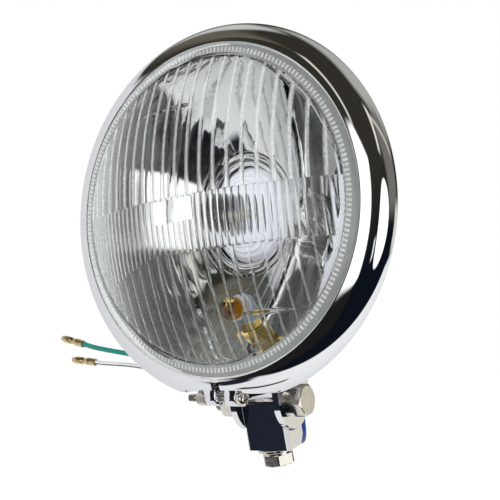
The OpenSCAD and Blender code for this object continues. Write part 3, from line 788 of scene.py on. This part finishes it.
def filament(material):
    """Coil of the headlight bulb, on its two supports, with the dip cup behind it."""
    turns = 9
    pitch = 0.62
    start = 17
    end = start + pitch * turns
    root = 41.5
    coil = [(0.0, start)]
    for i in range(turns * 8 + 1):
        coil.append((0.85 + 0.28 * math.sin(2 * math.pi * i / 8), start + 0.1 + pitch * i / 8))
    coil.append((0.0, end + 0.2))
    lathe("bulb_filament_coil", coil, material, segments=24, closed=False, slot="bulb_cap")
    for name, aside, tip in (("bulb_support_left", -3, start - 1), ("bulb_support_right", 3, end + 1)):
        rod = [(0.0, tip), (0.35, tip + 0.2), (0.4, tip + 0.5), (0.4, root), (0.0, root)]
        lathe(name, rod, material, segments=16, closed=False, place=beside_axis(aside), slot="bulb_cap")
    cup = [(4.6, start + 8), (5.2, start + 8.3), (5.4, start + 14), (5, start + 14.4), (0.0, start + 14.6),
           (0.0, start + 14.1), (4.8, start + 13.8), (4.6, start + 8.5)]
    lathe("bulb_dip_cup", cup, material, segments=64, closed=False, slot="bulb_cap")


def pilot_point(x, back, z):
    """A point beside the place where the side light goes through the mirror."""
    return lamp_point(x, mirror_back(PILOT_DROP) + back, z - PILOT_DROP)


def pilot_light(glass, enamel):
    """Amber side light, through the mirror's lower half. Its sleeve stands out as far as PILOT_REACH."""
    neck_r = PILOT_R - 0.8
    nose = -PILOT_REACH - 9
    bulb = [(PILOT_R * math.sin(a), nose + PILOT_R * (1 - math.cos(a))) for a in arc(20)]
    bulb += [(PILOT_R, -PILOT_REACH - 1.5), (neck_r, -PILOT_REACH), (neck_r, 4), (0.0, 4)]
    lathe("pilot_bulb_glass", bulb, glass, segments=64, closed=False, place=pilot_point, slot="amber_glass",
          hides=["pilot_bulb"])
    holder = [(PILOT_R - 0.6, -PILOT_REACH), (PILOT_R + 0.2, -PILOT_REACH - 0.3),
              (PILOT_R + 0.5, -PILOT_REACH), (PILOT_R + 0.5, -2.5), (PILOT_R + 1.2, -2),
              (PILOT_R + 1.2, 9), (PILOT_R + 0.4, 12), (PILOT_R - 0.6, 12)]
    lathe("pilot_holder_sleeve", holder, enamel, segments=64, place=pilot_point, slot="bulb_cap",
          hides=["pilot_holder"])


# Lens. The pattern's cross lines are at heights above the axis
DOME_BALL = (DOME_R ** 2 + DOME_RISE ** 2) / (2 * DOME_RISE)
DOME_MIDDLE = DOME_BASE - DOME_RISE + DOME_BALL
FLUTE = 6.2
RIDGE_START = 0.68
LINE_1 = 43
LINE_2 = 4.1
LINE_3 = -18.8
LINE_4 = -45.5
WEDGE_X = -16
WEDGE_SLOPE = math.tan(math.radians(15))
PAD_LEFT = -15.5
PAD_RIGHT = 5.5
PAD_LOW = -6.4
PAD_HIGH = 3.2
KNURL_DEPTH = 0.22
KNURL_POINTS = 880


def outer_back(radius):
    return DOME_MIDDLE - math.sqrt(DOME_BALL ** 2 - radius * radius)


def inner_back(radius):
    return DOME_MIDDLE - math.sqrt((DOME_BALL - GLASS_T) ** 2 - radius * radius)


def wedge(x):
    """How far the lower line drops on the lens's left side."""
    return min(0.0, (x - WEDGE_X) * WEDGE_SLOPE)


def ridge_share(x, pitch):
    """0 in a flute's channel, rising to 1 on the ridge between two flutes."""
    return max(0.0, (off_middle(x, pitch) - RIDGE_START) / (1 - RIDGE_START))


def off_middle(x, pitch):
    """0 in the middle of a flute and 1 at its sides."""
    return abs((x / pitch + 0.5) % 1.0 - 0.5) * 2


def flute_height(x, pitch, sag, ridge):
    """Shallow channel with a rounded ridge on each side."""
    return sag * off_middle(x, pitch) ** 2 + ridge * ridge_share(x, pitch) ** 2


def on_pad(x, level):
    """Whether a place is on the bare raised pad left of the lens's middle."""
    return PAD_LEFT < x < PAD_RIGHT and PAD_LOW < level < PAD_HIGH


def pattern_height(x, level):
    """Height of the pressed pattern on the inside at a place, where level is the row before the wedge."""
    if on_pad(x, level):
        return 0.95
    if level > LINE_2:
        top = 0.12 if level > LINE_1 and -25 < x < 2 else 0.0
        return flute_height(x, FLUTE, 0.05, 0.3) + 0.03 * (OPEN_R - level) + top
    if level > LINE_3:
        return flute_height(x, FLUTE / 2, 0.3, 0.05) + 0.35 - 0.012 * (LINE_2 - level)
    low = 0.15 if level < LINE_4 and 20 < x < 45 else 0.0
    return flute_height(x, FLUTE, 0.05, 0.12) + 0.25 + 0.01 * (level - LINE_3) + low


def painted_ridge_light(x, level):
    """How much painted highlight a place on the inside gets: most on the upper ridges and far left."""
    # The pad gets only a faint painted highlight
    if on_pad(x, level):
        return 0.12
    # Painted highlight that brightens the far left of the lens
    haze = 1.1 * smooth((-x - 34) / 28)
    if level > LINE_2:
        return smooth(ridge_share(x, FLUTE) * 1.6) + haze
    if level > LINE_3:
        return 0.4 * smooth(ridge_share(x, FLUTE / 2)) + haze
    return 0.6 * smooth(ridge_share(x, FLUTE) * 1.2 - 0.4) + haze


def lens_rows():
    """Heights of the rows of the pattern, doubled up at the cross lines and at the pad's edges."""
    gap = 1.3
    rows = [-OPEN_R + gap * i for i in range(round(2 * OPEN_R / gap) + 1)]
    for line in (LINE_1, LINE_2, LINE_3, LINE_4, PAD_LOW, PAD_HIGH):
        rows = [r for r in rows if abs(r - line) > 0.4] + [line - 0.06, line + 0.06]
    return sorted(rows + [OPEN_R])


def lens_columns():
    """Places across of the columns of the pattern."""
    per_flute = 16
    count = int(OPEN_R / FLUTE * per_flute) + 2
    return [FLUTE * i / per_flute for i in range(-count, count + 1)]


def wedge_fade(level):
    """Share of the wedge's drop at a level. It fades in below LINE_2 and out again below LINE_3."""
    if level > LINE_3:
        return min(1.0, abs(level - LINE_2) / 12)
    return max(0.0, 1 + (level - LINE_3) / 46)


def pattern_points(rows, columns):
    """Points of the patterned inside, row by row, and how much painted highlight each one gets."""
    points = []
    glints = []
    for level in rows:
        for x in columns:
            z = level + wedge(x) * wedge_fade(level) if level < LINE_2 else level
            radius = math.hypot(x, z)
            side = x
            if radius > OPEN_R:
                side, z, radius = x * OPEN_R / radius, z * OPEN_R / radius, OPEN_R
            edge = min(1.0, (OPEN_R - radius) / 1.5)
            points.append(lamp_point(side, inner_back(radius) + pattern_height(x, level) * edge, z))
            glints.append(painted_ridge_light(x, level) * edge)
    return points, glints


def pattern_faces(rows, columns):
    """Faces between the points of the pattern, without those far outside the lens."""
    radii = [math.hypot(x, level) for level in rows for x in columns]
    faces = lathe_faces(len(rows), len(columns), False, False)
    return [f for f in faces if min(radii[i] for i in f) < OPEN_R + 4]


def front_points(front):
    """Points of the lens's outside, row by row. Every other pair of the knurled ones gets a painted
    highlight.
    """
    points = []
    glints = []
    for radius, back, knurl in front:
        for k in range(KNURL_POINTS):
            a = 2 * math.pi * k / KNURL_POINTS
            depth = back + knurl * (0.0, 0.5, 1.0, 0.5)[k % 4]
            points.append(lamp_point(radius * math.sin(a), depth, radius * math.cos(a)))
            # Painted highlight on every other pair of knurled points
            glints.append(1.0 if knurl and k % 4 in (1, 2) else 0.0)
    return points, glints


def lens(material):
    rows = lens_rows()
    columns = lens_columns()
    points, glints = pattern_points(rows, columns)
    faces = pattern_faces(rows, columns)
    base = len(points)
    front = lens_front()
    outside, outside_glints = front_points(front)
    faces += [tuple(base + i for i in f) for f in lathe_faces(len(front), KNURL_POINTS, False)]
    faces.append(tuple(base + i for i in range(KNURL_POINTS)))
    piece = new_piece("lens_fluted_glass", points + outside, faces, material, slot="lens_glass", sharp=60,
                      hides=["lens"], glints=glints + outside_glints)
    face_bowl(piece)


def face_bowl(piece):
    """Turns the patterned faces towards the bowl, so that light leaves the glass there."""
    to_lamp = LAMP.inverted()
    back = LAMP.to_3x3() @ Vector((0, 1, 0))
    shape = bmesh.new()
    shape.from_mesh(piece.data)
    for face in shape.faces:
        x, depth, z = (to_lamp @ face.calc_center_median()) / MM
        radius = math.hypot(x, z)
        inside = radius < OPEN_R - 0.02 and depth > outer_back(radius) + GLASS_T / 2
        if inside and face.normal.dot(back) < 0:
            face.normal_flip()
    shape.to_mesh(piece.data)
    shape.free()


def lens_front():
    """Rows of the outside from the middle to the rim and back to the pattern: radius, place, knurl depth."""
    count = 34
    dome = [(DOME_R * i / count, outer_back(DOME_R * i / count), 0.0) for i in range(1, count + 1)]
    band = [(DOME_R + 0.25, DOME_BASE + 0.5, 0.0), (DOME_R + 0.5, DOME_BASE + 0.55, -KNURL_DEPTH),
            (DOME_R + 2.4, DOME_BASE + 0.75, -KNURL_DEPTH), (DOME_R + 2.7, DOME_BASE + 0.95, 0.0),
            (DOME_R + 3.4, DOME_BASE + 1.1, 0.0), (GLASS_R - 0.9, RIM_FRONT - 0.9, 0.0),
            (GLASS_R - 0.3, RIM_FRONT, 0.0), (UNIT_R, RIM_FRONT, 0.0), (UNIT_R, RIM_BACK, 0.0),
            (OPEN_R, RIM_BACK, 0.0), (OPEN_R, inner_back(OPEN_R), 0.0)]
    return dome + band


# Leads
def lead(name, path, diameter, material, node):
    """A free lead along its route, which ends in the connector tip. Its length and first point are worked
    out but not used.
    """
    data = bpy.data.curves.new(name, "CURVE")
    data.dimensions = "3D"
    data.resolution_u = 8
    data.bevel_depth = diameter / 2 * MM
    data.bevel_resolution = 6
    data.use_fill_caps = True
    line = data.splines.new("BEZIER")
    line.bezier_points.add(len(path) - 1)
    for knot, place in zip(line.bezier_points, path):
        knot.co = [c * MM for c in place]
        knot.handle_left_type = knot.handle_right_type = "AUTO"
    data.materials.append(material)
    piece = bpy.data.objects.new(name, data)
    bpy.context.scene.collection.objects.link(piece)
    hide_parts(node)
    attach(piece, "head")
    length = sum(math.dist(a, b) for a, b in zip(path, path[1:])) * MM
    exit_point = [c * MM for c in path[0]]


def bullet(name, path, material, node):
    """Crimped bullet connector that runs on along the route's last stretch."""
    end = Vector(path[-1])
    along = (end - Vector(path[-2])).normalized()
    turn = along.to_track_quat("Z", "Y").to_matrix()
    r = BULLET_D / 2
    crimp = [(0.0, 0.2), (r * 0.75, 0.2), (r * 0.92, 0.0), (r * 0.98, 0.5), (r * 0.9, 1.0),
             (r * 0.98, 1.5), (r * 0.88, 2.2), (r * 0.98, 2.9), (r * 0.9, 3.6), (r, 4.3), (r, 5.9)]
    neck = [(r * 0.75, 6.7), (r * 0.72, 8.2), (r * 0.8, 8.9)]
    barrel = [(r * 0.97, 9.4), (r * 0.97, 13.8), (r * 0.86, 14.9)]
    nose = [(r * 0.72, 15.3), (r * 0.7, 16.4), (r * 0.5, 16.95), (0.0, 17.0)]

    def place(x, back, z):
        return (end + turn @ Vector((x, z, back))) * MM
    return lathe(name, crimp + neck + barrel + nose, material, segments=40, closed=False, place=place,
                 slot="bullet_brass", sharp=50, hides=[node])


def leads(material):
    """The three leads, each with its bullet connector."""
    for color, path, diameter, dark, light, tracer in (
            ("green", GREEN_PATH, LEAD_D, (0.003, 0.2, 0.15), (0.006, 0.26, 0.2), None),
            ("white", WHITE_PATH, THIN_LEAD_D, (0.66, 0.66, 0.66), (0.8, 0.8, 0.8), (0.03, 0.03, 0.035)),
            ("blue", BLUE_PATH, LEAD_D, (0.01, 0.04, 0.2), (0.015, 0.06, 0.27), None)):
        tip = bullet(f"bullet_{color}_brass", path, material, f"bullet_{color}")
        skin = sheath(f"{color}_sheath", dark, light, tracer)
        lead(f"lead_{color}_wire", path, diameter, skin, f"lead_{color}")


# Studio. A later card lies over the earlier ones, and the round light over them all
STUDIO_CARDS = {
    # azimuth, elevation, half width, half height, turn and softness in degrees, colour
    "taupe_wall": (-82, 58, 44, 11, 0, 8, (0.13, 0.115, 0.09)),
    "pale_corner": (-132, 58, 12, 16, 0, 6, (0.55, 0.57, 0.56)),
    "grey_wall": (160, 38, 26, 22, 0, 8, (0.42, 0.42, 0.4)),
    "brown_wall": (125, 12, 20, 20, 0, 6, (0.17, 0.165, 0.15)),
    "window_streak": (125, 26, 2, 22, 50, 2, (0.55, 0.53, 0.47)),
    "small_strip": (98, 33, 3.4, 12, -35, 2, (0.8, 0.79, 0.72)),
    "soft_box": (3, 11, 25, 22, -8, 1.5, (1.3, 1.3, 1.3)),
    "lower_flag": (-9.4, -12.4, 27, 12, -30, 1.5, (0.012, 0.012, 0.013)),
    "upper_flag": (-18.9, 39.5, 14, 12, 27, 1.5, (0.03, 0.028, 0.022)),
    "high_strip": (-1, 45, 3, 12, 25, 2, (0.75, 0.74, 0.68)),
    "dark_flag": (-34.5, -14, 5, 8, 0, 2, (0.014, 0.018, 0.03)),
    "dark_pole": (-41, -60, 2, 19, 0, 1.2, (0.02, 0.02, 0.024)),
    "low_right": (146, -14, 9, 8, 0, 3, (0.72, 0.7, 0.62)),
    "low_front": (55, -14, 2.5, 5, 0, 1.5, (0.85, 0.86, 0.88)),
}


def direction(azimuth, elevation):
    """Unit vector. Azimuth 0 is in front of the lamp, and 90 is on its right in the photograph."""
    a, e = math.radians(azimuth), math.radians(elevation)
    return Vector((math.sin(a) * math.cos(e), -math.cos(a) * math.cos(e), math.sin(e)))


def card_mask(made, look, azimuth, elevation, half_w, half_h, turn, soft):
    """1 inside a rectangle of directions, as a flat card in front of the lamp would fill."""
    middle = direction(azimuth, elevation)
    across = Vector((0, 0, 1)).cross(middle).normalized()
    upward = middle.cross(across)
    t = math.radians(turn)
    along = across * math.cos(t) + upward * math.sin(t)
    upright = upward * math.cos(t) - across * math.sin(t)
    ahead = made.dot(look, middle)
    safe = made.math("MAXIMUM", ahead, 0.001)
    masks = []
    for axis, half in ((along, half_w), (upright, half_h)):
        side = made.math("DIVIDE", made.math("ABSOLUTE", made.dot(look, axis)), safe)
        outside = math.tan(math.radians(half + soft))
        inside = math.tan(math.radians(max(half - soft, 0.1)))
        masks.append(made.ramp(side, outside, inside))
    both = made.math("MULTIPLY", masks[0], masks[1])
    return made.math("MULTIPLY", both, made.math("GREATER_THAN", ahead, 0.02))


def round_mask(made, look, azimuth, elevation, inside, outside):
    """1 within the inside angle of a direction, falling to 0 at the outside angle, in degrees."""
    share = made.dot(look, direction(azimuth, elevation))
    return made.ramp(share, math.cos(math.radians(outside)), math.cos(math.radians(inside)))


def studio_world():
    """White for the camera, plain grey light on matt surfaces, and a studio with dark flags for gloss."""
    world = bpy.data.worlds.new("studio")
    bpy.context.scene.world = world
    made = Shader(world)
    look = made.node("ShaderNodeTexCoord").outputs["Generated"]
    sweep = made.ramp(made.dot(look, direction(-120, 20)), -1, 1)
    white = made.mix(sweep, (0.92, 0.93, 0.94), (0.7, 0.7, 0.73))
    height = made.dot(look, (0, 0, 1))
    dark = made.mix(made.ramp(height, -0.35, 0.5), (0.004, 0.006, 0.011), (0.032, 0.029, 0.023))
    room = made.ramp(made.dot(look, direction(55, 22)), -0.02, 0.02)
    above = made.ramp(made.dot(look, direction(85, 50)), -0.03, 0.03)
    color = made.mix(made.math("MAXIMUM", room, above), white, dark)
    for *shape, tint in STUDIO_CARDS.values():
        color = made.mix(card_mask(made, look, *shape), color, tint)
    color = made.mix(round_mask(made, look, 83, -9, 20, 21.5), color, (1.3, 1.3, 1.3))
    path = made.node("ShaderNodeLightPath")
    shiny = made.math("MAXIMUM", path.outputs["Is Glossy Ray"], path.outputs["Is Transmission Ray"])
    plain = made.mix(path.outputs["Is Camera Ray"], (0.62, 0.62, 0.63), (1, 1, 1))
    background = made.node("ShaderNodeBackground")
    made.feed(background.inputs[0], made.mix(shiny, plain, color))
    out = made.node("ShaderNodeOutputWorld")
    made.feed(out.inputs[0], background.outputs[0])


def floor():
    """Pale floor well below the held lamp. Only the camera and matt surfaces see it."""
    half = 6
    z = -0.3
    mesh = bpy.data.meshes.new("floor")
    mesh.from_pydata([(-half, -half, z), (half, -half, z), (half, half, z), (-half, half, z)], [],
                     [(0, 1, 2, 3)])
    piece = bpy.data.objects.new("floor", mesh)
    bpy.context.scene.collection.objects.link(piece)
    material, surface, made = principled("pale_floor", roughness=0.8)
    cloud = made.noise(3, 2, 0.5, made.place())
    made.paint(surface, cloud, (0.9, 0.9, 0.9), (0.94, 0.94, 0.94))
    glow = made.node("ShaderNodeEmission")
    glow.inputs["Strength"].default_value = 1.1
    path = made.node("ShaderNodeLightPath")
    seen = made.math("MULTIPLY", path.outputs["Is Camera Ray"], 0.85)
    made.finish(made.blend(seen, surface.outputs[0], glow.outputs[0]))
    mesh.materials.append(material)
    piece.visible_glossy = False
    piece.visible_transmission = False


def area_light(name, place, size, power):
    """A round light aimed at the lamp, which neither the camera nor the gloss sees."""
    data = bpy.data.lights.new(name, "AREA")
    data.shape = "DISK"
    data.size = size
    data.energy = power
    light = bpy.data.objects.new(name, data)
    bpy.context.scene.collection.objects.link(light)
    light.location = place
    light.rotation_euler = (Vector((0, 0, 0.1)) - Vector(place)).to_track_quat("-Z", "Y").to_euler()
    light.visible_glossy = False
    light.visible_camera = False
    light.visible_transmission = False


def soften_edges(node, width):
    """Rounds the sharp edges of a CAD piece with a small bevel."""
    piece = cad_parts[node]
    bevel = piece.modifiers.new("soft_edges", "BEVEL")
    bevel.width = width * MM
    bevel.segments = 3
    bevel.limit_method = "ANGLE"
    bevel.angle_limit = math.radians(38)
    bevel.harden_normals = True


def finish_node(node, material):
    """Gives a CAD piece that is shown as it is its material."""
    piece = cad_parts[node]
    piece.data.materials.clear()
    piece.data.materials.append(material)


make_camera()
BRASS = brass()
leads(BRASS)

CHROME = chrome()
NICKEL = nickel()
RUBBER = rubber()
trim_ring(CHROME)
clamp_screw(NICKEL)
tilt_bolt(NICKEL)
mount_bolt(NICKEL)
shell(CHROME)
reflector(mirror())
bond_ring("bond_ring_inner", OPEN_R + 0.3, KNURL_END,
          satin("dark_enamel", (0.24, 0.24, 0.24), (0.32, 0.32, 0.32), 0.5))
bond_ring("bond_ring_outer", KNURL_END, UNIT_R - 0.2,
          satin("grey_enamel", (0.72, 0.72, 0.72), (0.84, 0.84, 0.82), 0.5))
bulb_hood(satin("white_enamel", (0.76, 0.76, 0.84), (0.86, 0.86, 0.92), 0.3))
filament(NICKEL)
pilot_light(see_through("amber_clear", (1.0, 0.72, 0.22)),
            satin("blue_grey_enamel", (0.3, 0.33, 0.38), (0.42, 0.45, 0.5), 0.35))
lens(lens_glass())

for node in ("lens_seal", "cable_grommet", "bulb_boot"):
    finish_node(node, RUBBER)
for node in ("unit_clips", "bulb_base", "bulb_spring", "tilt_lock_washers", "mount_lock_washer"):
    finish_node(node, NICKEL)
for node in ("saddle", "mount_block"):
    finish_node(node, CHROME)
finish_node("bulb_glass", see_through("bulb_clear", (0.98, 0.99, 1)))
finish_node("bulb_terminals", BRASS)
finish_node("bulb_connector", moulded())
soften_edges("saddle", 0.5)
soften_edges("mount_block", 0.45)
for node in ("mount_lock_washer", "tilt_lock_washers"):
    soften_edges(node, 0.2)

studio_world()
floor()
area_light("key", (-0.5, -0.9, 0.9), 0.8, 9)
area_light("fill", (0.9, -0.5, 0.3), 0.8, 5)
bpy.context.scene.view_settings.view_transform = "Standard"
